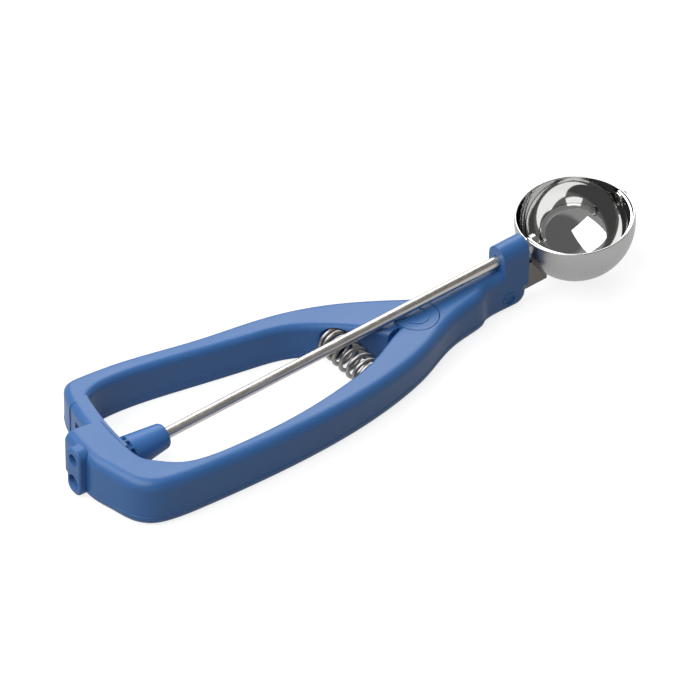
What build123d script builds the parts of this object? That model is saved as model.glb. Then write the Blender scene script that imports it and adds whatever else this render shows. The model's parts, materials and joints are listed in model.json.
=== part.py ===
"""Lever ice cream scoop, size 50: a squeeze handle that turns a scraper inside a round bowl.

Millimetres.  The origin is on the handle's flat underside, on the axis of the handle's own pivot.
+X runs forwards to the bowl, +Z is up, and +Y is the side of the moving arm.  The rod leans up
towards the bowl, so places along it are given as a distance ahead of the point over the pivot.
"""
from build123d import *
import os
from math import acos, cos, degrees, pi, radians, sin, sqrt, tan

# ---- rod and its line ------------------------------------------------------------------------
ROD_RADIUS = 2.0
ROD_LEAN = 5.0                 # degrees that the rod rises towards the bowl
ROD_HEIGHT = 17.8              # rod's axis above the underside, over the pivot
ROD_SIDE = 2.3                 # rod's line beside the pivot, towards the moving arm
RUNNING_FIT = 0.05             # radial gap of a shaft that turns in its bearing

# ---- bowl and scraper ------------------------------------------------------------------------
BOWL_RADIUS = 21.5             # outside
BOWL_WALL = 0.8
BOWL_GAP = 2.0                 # bowl's nearest point ahead of the neck
RIM_RISE = 2.6                 # rim above the rod's axis
BLADE_GAP = 0.3                # scraper blade to the bowl's inside
BLADE_THICKNESS = 0.6
BLADE_WIDTH = 5.2
BLADE_DROP = 4.0               # degrees that the blade hangs below the near rim at rest
BLADE_EYE_GAP = 0.08
SCRAPER_RIVET_RADIUS = 1.3
SCRAPER_HEAD_RADIUS = 2.2
SCRAPER_HEAD_THICKNESS = 0.7
HUB_RADIUS = 3.1
HUB_LENGTH = 2.6
FERRULE_RADIUS = 3.4
FERRULE_LENGTH = 1.6

# ---- handle: heights ---------------------------------------------------------------------------
NEAR_TOP = 14.5                # fixed arm's top over the pivot
NEAR_TOP_SLOPE = 1.88          # degrees that it rises to the rear
FAR_TOP = 13.4                 # moving arm's top over the pivot
FAR_TOP_SLOPE = 1.55
SLIDE_GAP = 0.35               # tongue to the sleeve around it
ROD_OVER_BODY = 1.4            # gap under the rod, ahead of the pivot
BODY_BEND = 60.0               # radius that blends the two slopes of the body's top

# ---- handle: rounded edges -------------------------------------------------------------------
OUTER_TOP_ROUND = 3.6
FAR_OUTER_TOP_ROUND = 2.8
FAR_INNER_TOP_ROUND = 2.6
OUTER_BOTTOM_ROUND = 3.0
INNER_TOP_ROUND = 1.3
INNER_BOTTOM_ROUND = 1.0

# ---- cross-piece at the rear, concentric with the pivot --------------------------------------
CROSS_INNER = 124.0
CROSS_OUTER = 138.2
MOUTH_ANGLE = 5.1              # open end of the sleeve, from the -X axis towards the moving arm
SLEEVE_END_ANGLE = 9.2         # closed end of the sleeve, on the other side
TONGUE_INNER = 122.4
TONGUE_OUTER = 129.2
TONGUE_TIP_ANGLE = 1.4         # past the -X axis, away from the moving arm
SKIRT_THICKNESS = 1.5
SKIRT_OVER_ROD = 3.4
SKIRT_INSET = 0.3              # skirt behind the moving arm's rear corner
SKIRT_BOTTOM = 3.4             # where the skirt has its full height
SHOULDER_ANGLE = 11.75         # where the moving arm's full height begins
SKIRT_STEP_ANGLE = 9.8         # where the skirt's full height begins

# ---- pinion and rack ---------------------------------------------------------------------------
GEAR_MODULE = 1.0
GEAR_TEETH = 11
GEAR_ADDENDUM = 0.9
RACK_ADDENDUM = 0.6
ROOT_GAP = 0.2
BACKLASH = 0.12
PRESSURE_ANGLE = 20.0
CONE_AHEAD_OF_RACK = 3.6       # cone's rear face, ahead of the tongue's inner side
GEAR_WIDTH = 8.4
RACK_MESH_RADIUS = 124.0       # where the rack's pitch is measured, from the pivot
GAPS_BEHIND = 1                # rack gaps before and after the one that holds the pinion's tooth
GAPS_AHEAD = 6
CONE_LENGTH = 14.8
CONE_REAR_RADIUS = 6.3
CONE_FRONT_RADIUS = 4.5
PINION_PIN_RADIUS = 0.8
PINION_PIN_IN_CONE = 9.8       # cross pin's axis, ahead of the cone's rear face
PINION_PIN_TURN = 43.0         # degrees that the cross pin leans from level
PINION_PIN_INSET = 0.3
CONE_NOSE_ROUND = 2.0

# ---- neck --------------------------------------------------------------------------------------
NECK_FRONT = 47.1
NECK_LENGTH = 10.7
NECK_HALF_WIDTH = 4.75
NECK_CROWN_RISE = 1.1          # centre of the round top, above the rod's axis
NECK_BOTTOM = 0.9
NECK_FOOT = 9.0                # where the upright slab starts, inside the body
NECK_CORNER = 5.0
NECK_ROOT_FLARE = 0.6          # widening half way back to the pivot, on the moving arm's side
BODY_RISE_START = 28.0         # where the underside starts to rise to the neck
NECK_BORE_GAP = 0.2            # radial gap of the rod where the neck's bush doesn't reach
BUSH_WALL = 1.0
BUSH_INSET = 1.2

# ---- shank that holds the bowl -----------------------------------------------------------------
SHANK_THICKNESS = 2.0
SHANK_BOTTOM = 3.3             # its lower edge, at the neck's front
SHANK_TOP = 14.5
SHANK_IN_NECK = 11.0
SHANK_OVERHANG = 11.1          # from the neck's front to its end under the bowl
SHANK_FIT = 0.05
SHANK_PIN_BACK = 7.9           # behind the neck's front
SHANK_PIN_Z = 5.6
SHANK_PIN_RADIUS = 1.5
PLUG_RADIUS = 2.0
PLUG_DEPTH = 1.2
PLUG_INSET = 0.25
PLUG_COLLAR_WALL = 0.8
PLUG_COLLAR_RISE = 0.3

# ---- pivot of the moving arm -------------------------------------------------------------------
EYE_RADIUS = 7.9
EYE_GAP = 0.3
LEAF_RADIUS = 13.2             # fixed arm's lower leaf, under the eye
LEAF_TOP = 7.4
LEAF_TIP_ANGLE = -18.5         # where the leaf's round edge meets the fixed arm's inside
ROOT_GAP_ANGLE = 3.0           # between the rim's end and the moving arm's root at rest
RIM_END_ANGLE = 38.0           # where the rim round the eye ends, from the +X axis
PIVOT_BUSH_RADIUS = 4.0
PIVOT_BUSH_TOP = 10.6
PIVOT_SCREW_RADIUS = 1.6
PIVOT_SCREW_TOP = 11.9
PIVOT_HEAD_RADIUS = 3.8
PIVOT_HEAD_THICKNESS = 1.7
PIVOT_WASHER_RADIUS = 5.0
PIVOT_WASHER_THICKNESS = 0.7
PIVOT_RECESS_RADIUS = 5.4
PIVOT_RECESS_DEPTH = 3.3
RING_RADIUS = 4.6              # plain raised ring on top of the eye
RING_WALL = 0.6
RING_RISE = 0.25

# ---- spring ------------------------------------------------------------------------------------
SPRING_X = -26.6
SPRING_Z = 7.1
SPRING_COIL_RADIUS = 5.2       # to the middle of the wire
SPRING_WIRE_RADIUS = 0.7
SPRING_PITCH = 2.7
SPRING_NEAR_END = -13.6
SPRING_FAR_END = 14.4
POCKET_GAP = 0.28
SPIGOT_GAP = 0.35
SPIGOT_LENGTH = 3.5

# ---- plate that closes the rear bearing --------------------------------------------------------
PLATE_WIDTH = 8.0
PLATE_CORNER = 3.3
PLATE_BOTTOM = 0.5
PLATE_TOP = 19.4
PLATE_STANDS_OFF = 2.8
PLATE_SEAT = 1.3
PLATE_ROUND = 0.8
BEARING_RADIUS = 3.6
BEARING_LENGTH = 4.5
ROD_END_RECESS_RADIUS = 2.8
ROD_END_RECESS = 1.5
PLATE_PIN_RADIUS = 1.6
PLATE_PIN_LENGTH = 5.0
PLATE_PIN_DROP = 4.4           # pin's axis below the plate's top
PLATE_PIN_RECESS_RADIUS = 2.3
PLATE_PIN_RECESS = 2.0

# ---- values that follow ------------------------------------------------------------------------
ROD_DIRECTION = Vector(cos(radians(ROD_LEAN)), 0, sin(radians(ROD_LEAN)))
ROD_START = Vector(0, ROD_SIDE, ROD_HEIGHT)
BOWL_AHEAD = NECK_FRONT / ROD_DIRECTION.X + BOWL_GAP + BOWL_RADIUS
GEAR_PITCH_RADIUS = GEAR_MODULE * GEAR_TEETH / 2
GEAR_FRONT = TONGUE_INNER - CONE_AHEAD_OF_RACK
PINION_PIN_BEHIND = GEAR_FRONT - PINION_PIN_IN_CONE
RACK_PITCH_ANGLE = degrees(pi * GEAR_MODULE / RACK_MESH_RADIUS)
PLATE_SEAT_X = -(CROSS_OUTER - PLATE_SEAT)
PLATE_BACK_X = -(CROSS_OUTER + PLATE_STANDS_OFF)
NECK_REAR = NECK_FRONT - NECK_LENGTH
SHANK_PIN_X = NECK_FRONT - SHANK_PIN_BACK
BOWL_INSIDE = BOWL_RADIUS - BOWL_WALL
BLADE_OUTSIDE = BOWL_INSIDE - BLADE_GAP
BLADE_INSIDE = BLADE_OUTSIDE - BLADE_THICKNESS
REACH = 200.0                  # longer than the whole scoop, for cutting blocks


def polar(radius, angle):
    """Point behind the pivot: angle from the -X axis, positive towards the moving arm."""
    return (-radius * cos(radians(angle)), radius * sin(radians(angle)))


def rod_plane(ahead):
    """Plane square to the rod.  Its own X is +Y, its Y is up from the rod and its Z is forwards."""
    return Plane(origin=ROD_START + ROD_DIRECTION * ahead, x_dir=(0, 1, 0), z_dir=ROD_DIRECTION)


def rod_height(x):
    """Height of the rod's axis at a given X."""
    return ROD_HEIGHT + x * tan(radians(ROD_LEAN))


def upright_slab(side_view, half_width):
    """Slab with a given side view, to both sides of the rod's line."""
    return extrude(Plane.XZ.offset(-ROD_SIDE) * side_view, amount=half_width, both=True)


def round_bar(radius, start, length):
    """Cylinder on the rod's axis."""
    return extrude(rod_plane(start) * Circle(radius), amount=length)


def below_far_top(rise=0.0):
    """Everything below the moving arm's top, or below a plane that rises above it."""
    fall = REACH * tan(radians(FAR_TOP_SLOPE))
    height = FAR_TOP + rise
    side = Polyline((-REACH, -1), (REACH, -1), (REACH, height - fall), (-REACH, height + fall), close=True)
    return extrude(Plane.XZ * make_face(side), amount=REACH, both=True)


def below_near_top(rise=0.0):
    """Everything inside the fixed arm's side view, lifted by a rise."""
    return Pos(0, 0, rise) * extrude(Plane.XZ * near_side_view(), amount=REACH, both=True)


def sector(inner, outer, start, end, bottom, top):
    """Block between two arcs round the pivot, from one angle behind it to another."""
    middle = (start + end) / 2
    outline = (
        ThreePointArc(polar(outer, start), polar(outer, middle), polar(outer, end))
        + Line(polar(outer, end), polar(inner, end))
        + ThreePointArc(polar(inner, end), polar(inner, middle), polar(inner, start))
        + Line(polar(inner, start), polar(outer, start))
    )
    return Pos(0, 0, bottom) * extrude(make_face(outline), amount=top - bottom)


def edges_over(shape, curves, low, high):
    """Edges of a shape that run along the plan curves, between two heights."""
    found = ShapeList()
    for edge in shape.edges():
        middle = edge @ 0.5
        level = abs((edge % 0.5).Z) < 0.5 and low < middle.Z < high
        if level and min(curve.distance_to(Vector(middle.X, middle.Y, 0)) for curve in curves) < 0.02:
            found.append(edge)
    return found


# ---- fixed arm ---------------------------------------------------------------------------------
def near_plan():
    """Plan curves of the fixed arm, in order from the rear face round to the sleeve's mouth."""
    rear_end = -1.0
    mouth_rear = polar(CROSS_OUTER, MOUTH_ANGLE)
    rear = ThreePointArc(mouth_rear, polar(CROSS_OUTER, 1), polar(CROSS_OUTER, rear_end))
    neck_near = ROD_SIDE - NECK_HALF_WIDTH
    neck_far = ROD_SIDE + NECK_HALF_WIDTH
    outside = Spline(
        polar(CROSS_OUTER, rear_end), (-135.9, -12.8), (-133.0, -21.6), (-128.4, -26.6), (-121.3, -28.9),
        (-108.0, -29.8), (-77.9, -29.6), (-42.3, -26.4), (-22.1, -22.0), (-5.2, -16.0), (13.7, -7.8),
        (26.0, -4.9), (NECK_REAR, neck_near),
        tangents=[(sin(radians(-rear_end)), -1, 0), (1, 0, 0)],
    )
    neck_side = Line((NECK_REAR, neck_near), (NECK_FRONT, neck_near))
    front = Line((NECK_FRONT, neck_near), (NECK_FRONT, neck_far))
    rim_end = (LEAF_RADIUS * cos(radians(RIM_END_ANGLE)), LEAF_RADIUS * sin(radians(RIM_END_ANGLE)))
    waist = (NECK_REAR / 2, neck_far + NECK_ROOT_FLARE)
    far_side = Spline((NECK_FRONT, neck_far), (NECK_REAR, neck_far), waist, rim_end)
    tip = polar(LEAF_RADIUS, LEAF_TIP_ANGLE)
    leaf = ThreePointArc(rim_end, (-LEAF_RADIUS * 0.6, LEAF_RADIUS * 0.8), tip)
    inner_end = -3.3
    inside = Spline(
        tip, (-25.6, -11.2), (-45.0, -17.6), (-65.2, -21.6), (-91.7, -23.7), (-105.5, -23.3),
        (-113.6, -20.9), (-120.4, -15.4), polar(CROSS_INNER, inner_end),
        tangents=[(-1, -0.5, 0), (-sin(radians(-inner_end)), 1, 0)],
    )
    rear_inside = ThreePointArc(
        polar(CROSS_INNER, inner_end), polar(CROSS_INNER, 1), polar(CROSS_INNER, MOUTH_ANGLE))
    mouth = Line(polar(CROSS_INNER, MOUTH_ANGLE), mouth_rear)
    return rear, outside, neck_side, front, far_side, leaf, inside, rear_inside, mouth


def near_side_view():
    """Side view of the fixed arm's body: flat underside, rising to the neck, and the two slopes on top."""
    front_top = rod_height(NECK_FRONT) - ROD_RADIUS - ROD_OVER_BODY
    body_top = rod_height(0) - ROD_RADIUS - ROD_OVER_BODY
    fall = tan(radians(NEAR_TOP_SLOPE))
    bend_x = (NEAR_TOP - body_top) / (fall + tan(radians(ROD_LEAN)))
    bend_z = NEAR_TOP - fall * bend_x
    face = make_face(Polyline(
        (-REACH, 0), (BODY_RISE_START, 0), (NECK_FRONT, NECK_BOTTOM), (NECK_FRONT, front_top),
        (bend_x, bend_z), (-REACH, NEAR_TOP + fall * REACH), close=True))
    bends = face.vertices().filter_by(lambda v: abs(v.X - bend_x) < 0.01 or abs(v.X - BODY_RISE_START) < 0.01)
    face = fillet(bends, BODY_BEND)
    corner = face.vertices().sort_by_distance((NECK_FRONT, NECK_BOTTOM, 0))[0]
    return fillet(corner, NECK_CORNER)


def make_neck():
    """Upright slab round the rod, with a half-round top."""
    crown = rod_height(NECK_FRONT) + NECK_CROWN_RISE + NECK_HALF_WIDTH + 2
    side = make_face(Polyline(
        (NECK_REAR, NECK_FOOT), (NECK_REAR, crown), (NECK_FRONT, crown), (NECK_FRONT, NECK_FOOT), close=True))
    slab = upright_slab(side, NECK_HALF_WIDTH)
    stadium = Pos(0, NECK_CROWN_RISE) * Circle(NECK_HALF_WIDTH)
    stadium += Pos(0, NECK_CROWN_RISE - REACH / 4) * Rectangle(2 * NECK_HALF_WIDTH, REACH / 2)
    prism = extrude(rod_plane(0) * stadium, amount=REACH / 2)
    return slab & prism


def make_near_body():
    """Fixed arm with room for the moving arm's eye and with its edges rounded, before the neck is added."""
    curves = near_plan()
    rear, outside, neck_side, _, far_side, _, inside, rear_inside, _ = curves
    near_edge = (rear, outside, neck_side)
    body = extrude(make_face(sum(curves[1:], Curve() + rear)), amount=REACH) & below_near_top()
    body -= eye_space()
    body = fillet(edges_over(body, near_edge, LEAF_TOP + 1, REACH), OUTER_TOP_ROUND)
    body = fillet(edges_over(body, (far_side,), LEAF_TOP + 1, REACH), OUTER_TOP_ROUND)
    body = fillet(edges_over(body, near_edge + (far_side,), -1, LEAF_TOP - 1), OUTER_BOTTOM_ROUND)
    body = fillet(edges_over(body, (inside, rear_inside), LEAF_TOP + 1, REACH), INNER_TOP_ROUND)
    return fillet(edges_over(body, (inside, rear_inside), -1, LEAF_TOP - 1), INNER_BOTTOM_ROUND)


def eye_space():
    """Room for the moving arm's eye and root, above the fixed arm's lower leaf."""
    eye = Pos(0, 0, LEAF_TOP) * extrude(Circle(EYE_RADIUS + EYE_GAP), amount=REACH)
    reach = 2 * LEAF_RADIUS
    swing = make_face(Polyline(
        (0, 0), (reach * cos(radians(RIM_END_ANGLE)), reach * sin(radians(RIM_END_ANGLE))),
        (-reach, reach), polar(reach, LEAF_TIP_ANGLE), close=True))
    return eye + Pos(0, 0, LEAF_TOP) * extrude(swing, amount=REACH)


def plate_outline():
    """Upright plate outline with rounded corners, seen from behind."""
    height = PLATE_TOP - PLATE_BOTTOM
    middle = Pos(ROD_SIDE, PLATE_BOTTOM + height / 2)
    return Plane.YZ * middle * RectangleRounded(PLATE_WIDTH, height, PLATE_CORNER)


def plate_pin_axis(start):
    """Plane on the plate pin's axis, square to X."""
    return Plane(origin=(start, ROD_SIDE, PLATE_TOP - PLATE_PIN_DROP), x_dir=(0, 1, 0), z_dir=(1, 0, 0))


def pivot_hole(radius, bottom, top):
    """Upright cylinder on the handle's pivot."""
    return Pos(0, 0, bottom) * extrude(Circle(radius), amount=top - bottom)


def shank_pin_plane(y):
    """Plane square to Y on the axis of the pin through the neck."""
    return Plane(origin=(SHANK_PIN_X, y, SHANK_PIN_Z), x_dir=(1, 0, 0), z_dir=(0, -1, 0))


def make_near_handle():
    """Fixed arm with the neck, the sleeve over the rack, the bearings and the lower leaf of the pivot."""
    body = make_near_body() + make_neck()
    sleeve = sector(TONGUE_INNER - SLIDE_GAP, TONGUE_OUTER + 2 * SLIDE_GAP, -SLEEVE_END_ANGLE, 20, -1, REACH)
    body -= sleeve & below_far_top(SLIDE_GAP)
    body -= Pos(PLATE_BACK_X - 1, 0, 0) * extrude(plate_outline(), amount=PLATE_SEAT_X - PLATE_BACK_X + 1)
    body -= round_bar(BEARING_RADIUS, -CROSS_OUTER - 1, CROSS_OUTER - TONGUE_OUTER + 1)
    body -= extrude(plate_pin_axis(PLATE_BACK_X) * Circle(PLATE_PIN_RADIUS), amount=PLATE_PIN_LENGTH)
    neck_start = NECK_REAR / ROD_DIRECTION.X
    bush_start = neck_start + BUSH_INSET
    body -= round_bar(ROD_RADIUS + NECK_BORE_GAP, neck_start - 2, NECK_LENGTH + 5)
    body -= round_bar(ROD_RADIUS + BUSH_WALL, bush_start, NECK_LENGTH)
    body -= pivot_hole(PIVOT_RECESS_RADIUS, -1, PIVOT_RECESS_DEPTH)
    body -= pivot_hole(PIVOT_BUSH_RADIUS + RUNNING_FIT, 0, LEAF_TOP + 1)
    slot = upright_slab(shank_side(SHANK_FIT), SHANK_THICKNESS / 2 + SHANK_FIT)
    body -= slot
    near_face = ROD_SIDE - NECK_HALF_WIDTH
    far_face = ROD_SIDE + NECK_HALF_WIDTH
    collar = extrude(shank_pin_plane(far_face + PLUG_COLLAR_RISE) * Circle(PLUG_RADIUS + PLUG_COLLAR_WALL),
                     amount=2 * (NECK_HALF_WIDTH + PLUG_COLLAR_RISE))
    body += collar - slot
    body -= extrude(shank_pin_plane(far_face) * Circle(SHANK_PIN_RADIUS), amount=2 * NECK_HALF_WIDTH)
    plug_depth = PLUG_DEPTH + PLUG_INSET + PLUG_COLLAR_RISE
    body -= extrude(shank_pin_plane(far_face + PLUG_COLLAR_RISE) * Circle(PLUG_RADIUS), amount=plug_depth)
    body -= extrude(shank_pin_plane(near_face - PLUG_COLLAR_RISE) * Circle(PLUG_RADIUS), amount=-plug_depth)
    body -= spring_pocket(SPRING_NEAR_END, 1)
    body += spring_spigot(SPRING_NEAR_END, 1)
    return body


# ---- spring and its seats ----------------------------------------------------------------------
def spring_plane(y, side):
    """Plane square to the spring's axis, facing towards +Y or -Y."""
    return Plane(origin=(SPRING_X, y, SPRING_Z), x_dir=(1, 0, 0), z_dir=(0, side, 0))


def spring_pocket(end, side):
    """Round pocket in an arm that the end of the spring sits in."""
    radius = SPRING_COIL_RADIUS + SPRING_WIRE_RADIUS + POCKET_GAP
    return extrude(spring_plane(end, side) * Circle(radius), amount=SPRING_FAR_END - SPRING_NEAR_END)


def spring_spigot(end, side):
    """Peg on the pocket's floor that keeps the coil in place."""
    radius = SPRING_COIL_RADIUS - SPRING_WIRE_RADIUS - SPIGOT_GAP
    return extrude(spring_plane(end - side, side) * Circle(radius), amount=SPIGOT_LENGTH + 1)


def make_spring():
    """Compression coil between the arms."""
    length = SPRING_FAR_END - SPRING_NEAR_END - 2 * SPRING_WIRE_RADIUS
    path = Helix(SPRING_PITCH, length, SPRING_COIL_RADIUS)
    wire = Plane(origin=path @ 0, z_dir=path % 0) * Circle(SPRING_WIRE_RADIUS)
    coil = sweep(wire, path=path, is_frenet=True)
    return Plane(origin=(SPRING_X, SPRING_NEAR_END + SPRING_WIRE_RADIUS, SPRING_Z),
                 x_dir=(1, 0, 0), z_dir=(0, 1, 0)) * coil


# ---- moving arm --------------------------------------------------------------------------------
def far_plan():
    """Plan curves of the moving arm: outside, root, inside, rear inside and shoulder."""
    root_angle = radians(RIM_END_ANGLE + ROOT_GAP_ANGLE)
    root_outer = (LEAF_RADIUS * cos(root_angle), LEAF_RADIUS * sin(root_angle))
    rear_corner = polar(TONGUE_OUTER + SKIRT_INSET, SHOULDER_ANGLE)
    outside = Spline(
        rear_corner, (-125.0, 32.0), (-121.9, 36.6), (-115.3, 37.8), (-99.2, 37.1), (-70.0, 33.0),
        (-41.1, 30.1), (-19.1, 23.9), (-1.4, 15.2), root_outer,
    )
    root = Line(root_outer, (0, 0))
    tip = polar(LEAF_RADIUS, -6.0)
    to_inside = Line((0, 0), tip)
    inside = Spline(
        tip, (-19.0, 5.0), (-27.0, 11.6), (-40.8, 19.7), (-54.4, 22.5), (-73.8, 25.4), (-92.3, 28.2),
        (-108.0, 29.2), (-115.5, 28.0), polar(TONGUE_INNER, SHOULDER_ANGLE),
    )
    shoulder = Line(polar(TONGUE_INNER, SHOULDER_ANGLE), rear_corner)
    return outside, root, to_inside, inside, shoulder


def make_far_body():
    """Moving arm at its full height, with its edges rounded."""
    curves = far_plan()
    outside, _, _, inside, _ = curves
    body = extrude(make_face(sum(curves[1:], Curve() + outside)), amount=REACH) & below_far_top()
    body = fillet(edges_over(body, (outside,), LEAF_TOP, REACH), FAR_OUTER_TOP_ROUND)
    body = fillet(edges_over(body, (outside,), -1, LEAF_TOP), OUTER_BOTTOM_ROUND)
    body = fillet(edges_over(body, (inside,), LEAF_TOP, REACH), FAR_INNER_TOP_ROUND)
    return fillet(edges_over(body, (inside,), -1, LEAF_TOP), INNER_BOTTOM_ROUND)


def rack_block():
    """Part of the tongue that carries the rack, its underside following the rod's lean."""
    outer = TONGUE_OUTER - SKIRT_THICKNESS
    tip_rise = (GEAR_PITCH_RADIUS - RACK_ADDENDUM) / ROD_DIRECTION.X
    section = make_face(Polyline(
        (-TONGUE_INNER, rod_height(-TONGUE_INNER) + tip_rise), (-outer, rod_height(-outer) + tip_rise),
        (-outer, REACH / 4), (-TONGUE_INNER, REACH / 4), close=True))
    arc = SHOULDER_ANGLE + TONGUE_TIP_ANGLE + 1
    block = revolve(Plane.XZ * section, axis=Axis.Z, revolution_arc=arc)
    return Rot(0, 0, -SHOULDER_ANGLE - 1) * block


def rack_gap(number):
    """Space between two rack teeth, counted from the one that meets the pinion at rest."""
    flank = tan(radians(PRESSURE_ANGLE))
    half_pitch_gap = pi * GEAR_MODULE / 4
    mouth = GEAR_PITCH_RADIUS - RACK_ADDENDUM - 1
    root = GEAR_PITCH_RADIUS + GEAR_ADDENDUM + ROOT_GAP
    mouth_half = half_pitch_gap + (GEAR_PITCH_RADIUS - mouth) * flank
    root_half = half_pitch_gap - (root - GEAR_PITCH_RADIUS) * flank
    outline = make_face(Polyline(
        (-mouth_half, mouth), (mouth_half, mouth), (root_half, root), (-root_half, root), close=True))
    length = TONGUE_OUTER - SKIRT_THICKNESS - TONGUE_INNER + 2
    gap = extrude(rod_plane(-TONGUE_OUTER + SKIRT_THICKNESS) * outline, amount=length)
    return Rot(0, 0, -number * RACK_PITCH_ANGLE) * gap


def make_tongue():
    """Tongue that slides under the fixed arm's roof: rack below, thin skirt outside it."""
    skirt_bottom = rod_height(-TONGUE_OUTER + SKIRT_THICKNESS) + ROD_RADIUS + SKIRT_OVER_ROD
    skirt_inner = TONGUE_OUTER - SKIRT_THICKNESS
    tongue = rack_block()
    end_angle = SHOULDER_ANGLE + 1
    tongue += sector(skirt_inner, TONGUE_OUTER, -TONGUE_TIP_ANGLE, end_angle, skirt_bottom, REACH / 4)
    tongue += sector(skirt_inner, TONGUE_OUTER, SKIRT_STEP_ANGLE, end_angle, SKIRT_BOTTOM, REACH / 4)
    tongue = tongue & below_far_top()
    over_rack = polar(TONGUE_OUTER, SHOULDER_ANGLE / 2) + (REACH / 4,)
    rear_top = tongue.edges().filter_by(GeomType.ELLIPSE).sort_by_distance(over_rack)[0]
    tongue = fillet(rear_top, FAR_OUTER_TOP_ROUND)
    for number in range(-GAPS_BEHIND, GAPS_AHEAD + 1):
        tongue -= rack_gap(number)
    return tongue


def make_far_handle():
    """Moving arm with the tongue and rack at the rear and the eye at the pivot."""
    body = make_far_body()
    body -= pivot_hole(LEAF_RADIUS + EYE_GAP, -1, LEAF_TOP + EYE_GAP)
    body += pivot_hole(EYE_RADIUS, LEAF_TOP + EYE_GAP, REACH / 4) & below_near_top()
    body += make_tongue()
    body -= pivot_hole(PIVOT_BUSH_RADIUS, 0, PIVOT_BUSH_TOP)
    body -= pivot_hole(PIVOT_SCREW_RADIUS, 0, PIVOT_SCREW_TOP)
    ring = pivot_hole(RING_RADIUS, FAR_TOP - 1, REACH / 4) - pivot_hole(RING_RADIUS - RING_WALL, 0, REACH / 4)
    body += ring & below_near_top(RING_RISE)
    body -= spring_pocket(SPRING_FAR_END, -1)
    body += spring_spigot(SPRING_FAR_END, -1)
    return body


# ---- pivot hardware ----------------------------------------------------------------------------
def make_pivot_bush():
    """Steel sleeve pressed into the moving arm's eye, turning in the fixed arm's leaf."""
    start = PIVOT_RECESS_DEPTH - RUNNING_FIT
    return pivot_hole(PIVOT_BUSH_RADIUS, start, PIVOT_BUSH_TOP) - pivot_hole(PIVOT_SCREW_RADIUS, 0, REACH)


def make_pivot_washer():
    """Washer between the screw's head and the sleeve."""
    top = PIVOT_RECESS_DEPTH - RUNNING_FIT
    ring = pivot_hole(PIVOT_WASHER_RADIUS, top - PIVOT_WASHER_THICKNESS, top)
    return ring - pivot_hole(PIVOT_SCREW_RADIUS, 0, REACH)


def make_pivot_screw():
    """Screw from below, with a round head and a cross recess."""
    seat = PIVOT_RECESS_DEPTH - RUNNING_FIT - PIVOT_WASHER_THICKNESS
    screw = pivot_hole(PIVOT_HEAD_RADIUS, seat - PIVOT_HEAD_THICKNESS, seat)
    rim = screw.edges().sort_by(Axis.Z)[0]
    screw = fillet(rim, PIVOT_HEAD_THICKNESS * 0.6)
    screw += pivot_hole(PIVOT_SCREW_RADIUS, seat - 0.1, PIVOT_SCREW_TOP)
    slot = Rectangle(PIVOT_HEAD_RADIUS, PIVOT_HEAD_RADIUS / 5)
    depth = PIVOT_HEAD_THICKNESS * 0.6
    for turn in (0, 90):
        screw -= Pos(0, 0, seat - PIVOT_HEAD_THICKNESS) * Rot(0, 0, turn) * extrude(slot, amount=depth)
    return screw


# ---- pinion, rod and rear bearing --------------------------------------------------------------
def gear_outline():
    """Pinion outline: involute flanks, with one tooth pointing straight up."""
    base = GEAR_PITCH_RADIUS * cos(radians(PRESSURE_ANGLE))
    tip = GEAR_PITCH_RADIUS + GEAR_ADDENDUM
    root = GEAR_PITCH_RADIUS - RACK_ADDENDUM - ROOT_GAP
    half_tooth = (pi * GEAR_MODULE / 2 - BACKLASH) / 2 / GEAR_PITCH_RADIUS
    rolled = tan(radians(PRESSURE_ANGLE)) - radians(PRESSURE_ANGLE)

    def flank_point(radius, middle, side):
        pressure = acos(min(1.0, base / radius))
        turn = middle + side * (half_tooth + rolled - (tan(pressure) - pressure))
        return (radius * cos(turn), radius * sin(turn))

    outline = Curve()
    pitch = 2 * pi / GEAR_TEETH
    for tooth in range(GEAR_TEETH):
        middle = pi / 2 + tooth * pitch
        rising = [flank_point(base + (tip - base) * step, middle, -1) for step in (0, 0.35, 1)]
        falling = [flank_point(base + (tip - base) * step, middle, 1) for step in (1, 0.35, 0)]
        foot_turn = half_tooth + rolled
        foot = (root * cos(middle - foot_turn), root * sin(middle - foot_turn))
        end = (root * cos(middle + foot_turn), root * sin(middle + foot_turn))
        next_foot = (root * cos(middle + pitch - foot_turn), root * sin(middle + pitch - foot_turn))
        valley = (root * cos(middle + pitch / 2), root * sin(middle + pitch / 2))
        outline += Line(foot, rising[0]) + Spline(*rising)
        outline += ThreePointArc(rising[-1], (tip * cos(middle), tip * sin(middle)), falling[0])
        outline += Spline(*falling) + Line(falling[-1], end) + ThreePointArc(end, valley, next_foot)
    return make_face(outline)


def pinion_pin_bar(radius, half_length):
    """Bar across the rod, where the pinion is pinned to it."""
    across = Vector(0, cos(radians(PINION_PIN_TURN)), 0)
    up = rod_plane(0).y_dir * sin(radians(PINION_PIN_TURN))
    plane = Plane(origin=ROD_START - ROD_DIRECTION * PINION_PIN_BEHIND, z_dir=across + up)
    return extrude(plane * Circle(radius), amount=half_length, both=True)


def make_drive_pinion():
    """Pinion and its smooth cone, one moulding on the rod."""
    cone = loft([rod_plane(-GEAR_FRONT) * Circle(CONE_REAR_RADIUS),
                 rod_plane(-GEAR_FRONT + CONE_LENGTH) * Circle(CONE_FRONT_RADIUS)])
    nose = cone.edges().sort_by(Axis.X)[-1]
    cone = fillet(nose, CONE_NOSE_ROUND)
    teeth = extrude(rod_plane(-GEAR_FRONT - GEAR_WIDTH) * gear_outline(), amount=GEAR_WIDTH)
    pinion = cone + teeth - round_bar(ROD_RADIUS, -GEAR_FRONT - GEAR_WIDTH - 1, GEAR_WIDTH + CONE_LENGTH + 2)
    return pinion - pinion_pin_bar(PINION_PIN_RADIUS, CONE_REAR_RADIUS + 1)


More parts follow.
